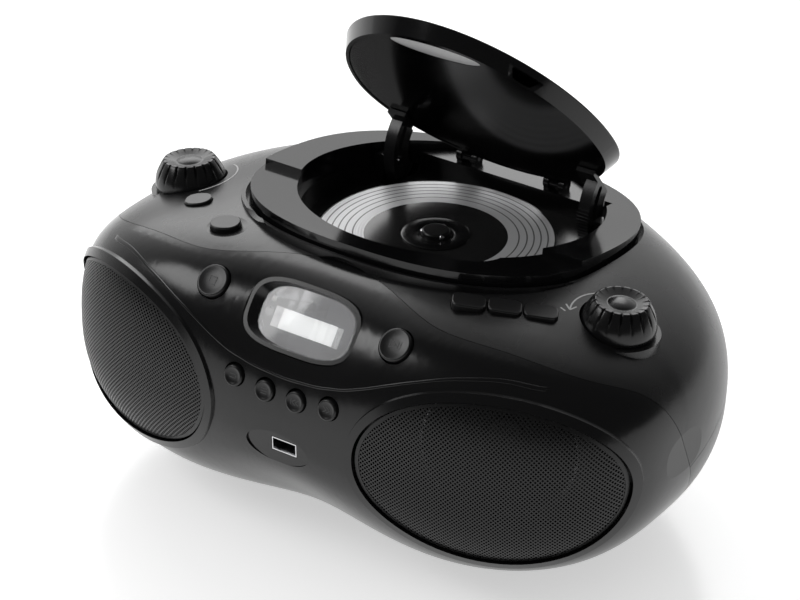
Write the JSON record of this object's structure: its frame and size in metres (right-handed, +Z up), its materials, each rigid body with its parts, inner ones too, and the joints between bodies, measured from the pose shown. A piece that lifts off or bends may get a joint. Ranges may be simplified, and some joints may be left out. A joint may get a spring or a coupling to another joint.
{
  "type": "cd radio",
  "caption": "Portable CD radio with a rounded cabinet, oval speaker pods, a top disc well under a hinged lid, a front display, press keys and turning knobs.",
  "frame": {"origin": "on the floor under the middle of the cabinet", "axes": "+X along the width to the right seen from the front, front faces -Y, +Z up"},
  "size_m": [0.3312, 0.2409, 0.2437],
  "materials": {
    "shell_black": "satin",
    "front_black": "gloss",
    "collar_black": "gloss",
    "well_black": "matt",
    "key_black": "satin",
    "lid_black": "gloss",
    "clear": "clear",
    "screen": "matt",
    "lamp": "gloss",
    "eye": "gloss",
    "plated": "bright",
    "tongue": "matt",
    "mesh": "satin",
    "frame_steel": "plain",
    "cone": "matt",
    "magnet": "plain",
    "baffle": "matt",
    "foot": "matt",
    "board": "satin",
    "winding": "plain",
    "nylon": "satin",
    "knob": "satin",
    "disc": "mirror",
    "motor": "satin",
    "chassis_grey": "matt"
  },
  "bodies": {
    "cabinet": {"display_bezel": "front_black", "display_lens": "clear", "display_module": "screen", "status_lamp": "lamp", "remote_eye": "eye", "usb_socket": "plated", "usb_tongue": "tongue", "grille_left": "mesh", "grille_right": "mesh", "speaker_baffles": "baffle", "speaker_frames": "frame_steel", "speaker_cones": "cone", "speaker_magnets": "magnet", "front_panel": "front_black", "upper_shell": "shell_black", "mains_inlet": "well_black", "lower_shell": "shell_black", "rubber_feet": "foot", "case_screws": "plated", "main_board": "board", "transformer": "winding", "battery_contacts": "plated", "collar": "collar_black", "disc_well": "well_black", "hinge_pins": "plated", "damper_body": "chassis_grey", "drive_motors": "motor", "chassis": "chassis_grey", "isolation_mounts": "foot", "guide_rods": "plated", "volume_control": "plated", "tuning_capacitor": "nylon"},
    "lid": {"lid_shell": "lid_black", "lid_window": "clear", "lid_lining": "well_black", "lid_arm_left": "well_black", "lid_arm_right": "well_black"},
    "damper": {"damper_wheel": "nylon"},
    "spinner": {"compact_disc": "disc", "turntable": "chassis_grey", "clamp_balls": "plated"},
    "sled": {"pickup_sled": "chassis_grey", "pickup_lens": "eye"},
    "screw": {"feed_screw": "plated"},
    "volume": {"volume_knob": "knob", "volume_shaft": "plated"},
    "tuning": {"tuning_knob": "knob", "tuning_shaft": "plated"},
    "battery_door": {"battery_door": "shell_black"},
    "stop_key": {"stop_key": "key_black"},
    "play_key": {"play_key": "key_black"},
    "mode_key": {"mode_key": "key_black"},
    "program_key": {"program_key": "key_black"},
    "skip_back_key": {"skip_back_key": "key_black"},
    "skip_forward_key": {"skip_forward_key": "key_black"},
    "bass_key": {"bass_key": "key_black"},
    "standby_key": {"standby_key": "key_black"},
    "function_key": {"function_key": "key_black"},
    "folder_down_key": {"folder_down_key": "key_black"},
    "folder_up_key": {"folder_up_key": "key_black"}
  },
  "joints": [
    {"name": "lid_hinge", "type": "hinge", "parent": "cabinet", "child": "lid", "pos_m": [0, 0.0845, 0.135], "axis": [1, 0, 0], "range_deg": [0, 43.4]},
    {"name": "damper_spin", "type": "hinge", "parent": "cabinet", "child": "damper", "pos_m": [0.0565, 0.06018, 0.11232], "axis": [1, 0, 0], "range_deg": [-256, 1]},
    {"name": "spindle_spin", "type": "hinge", "parent": "cabinet", "child": "spinner", "pos_m": [0, 0.0135, 0.1254], "axis": [0, 0, 1], "continuous": true},
    {"name": "sled_slide", "type": "slide", "parent": "cabinet", "child": "sled", "axis": [0, -1, 0], "range_m": [0, 0.032]},
    {"name": "screw_spin", "type": "hinge", "parent": "cabinet", "child": "screw", "pos_m": [0.025, 0, 0.1138], "axis": [0, -1, 0], "range_deg": [-1, 3842]},
    {"name": "volume_turn", "type": "hinge", "parent": "cabinet", "child": "volume", "pos_m": [-0.1263, -0.0218, 0.1318], "axis": [-0.0872, 0, 0.9962], "range_deg": [-150, 150]},
    {"name": "tuning_turn", "type": "hinge", "parent": "cabinet", "child": "tuning", "pos_m": [0.1263, -0.0218, 0.1318], "axis": [0.0872, 0, 0.9962], "range_deg": [-90, 90]},
    {"name": "battery_door_hinge", "type": "hinge", "parent": "cabinet", "child": "battery_door", "pos_m": [0, 0.062, 0.00788], "axis": [1, 0, 0], "range_deg": [0, 80]},
    {"name": "stop_key_press", "type": "slide", "parent": "cabinet", "child": "stop_key", "axis": [-0.0123, 0.6955, -0.7184], "range_m": [0, 0.0012], "stiffness_N_per_m": 400, "springref_m": -0.0005},
    {"name": "play_key_press", "type": "slide", "parent": "cabinet", "child": "play_key", "axis": [0.0123, 0.6955, -0.7184], "range_m": [0, 0.0012], "stiffness_N_per_m": 400, "springref_m": -0.0005},
    {"name": "mode_key_press", "type": "slide", "parent": "cabinet", "child": "mode_key", "axis": [-0.0092, 0.9682, -0.2502], "range_m": [0, 0.0012], "stiffness_N_per_m": 400, "springref_m": -0.0005},
    {"name": "program_key_press", "type": "slide", "parent": "cabinet", "child": "program_key", "axis": [-0.0069, 0.9695, -0.245], "range_m": [0, 0.0012], "stiffness_N_per_m": 400, "springref_m": -0.0005},
    {"name": "skip_back_key_press", "type": "slide", "parent": "cabinet", "child": "skip_back_key", "axis": [0.0069, 0.9695, -0.245], "range_m": [0, 0.0012], "stiffness_N_per_m": 400, "springref_m": -0.0005},
    {"name": "skip_forward_key_press", "type": "slide", "parent": "cabinet", "child": "skip_forward_key", "axis": [0.0092, 0.9682, -0.2502], "range_m": [0, 0.0012], "stiffness_N_per_m": 400, "springref_m": -0.0005},
    {"name": "bass_key_press", "type": "slide", "parent": "cabinet", "child": "bass_key", "axis": [0.1837, 0.0271, -0.9826], "range_m": [0, 0.0012], "stiffness_N_per_m": 400, "springref_m": -0.0005},
    {"name": "standby_key_press", "type": "slide", "parent": "cabinet", "child": "standby_key", "axis": [0.0828, 0.0762, -0.9937], "range_m": [0, 0.0012], "stiffness_N_per_m": 400, "springref_m": -0.0005},
    {"name": "function_key_press", "type": "slide", "parent": "cabinet", "child": "function_key", "axis": [-0.1153, 0.039, -0.9926], "range_m": [0, 0.0012], "stiffness_N_per_m": 400, "springref_m": -0.0005},
    {"name": "folder_down_key_press", "type": "slide", "parent": "cabinet", "child": "folder_down_key", "axis": [-0.1153, 0.039, -0.9926], "range_m": [0, 0.0012], "stiffness_N_per_m": 400, "springref_m": -0.0005},
    {"name": "folder_up_key_press", "type": "slide", "parent": "cabinet", "child": "folder_up_key", "axis": [-0.1153, 0.039, -0.9926], "range_m": [0, 0.0012], "stiffness_N_per_m": 400, "springref_m": -0.0005}
  ],
  "couplings": [
    {"joint": "damper_spin", "follows": "lid_hinge", "ratio": -5.875},
    {"joint": "screw_spin", "follows": "sled_slide", "rad_per_m": 2094.4}
  ]
}
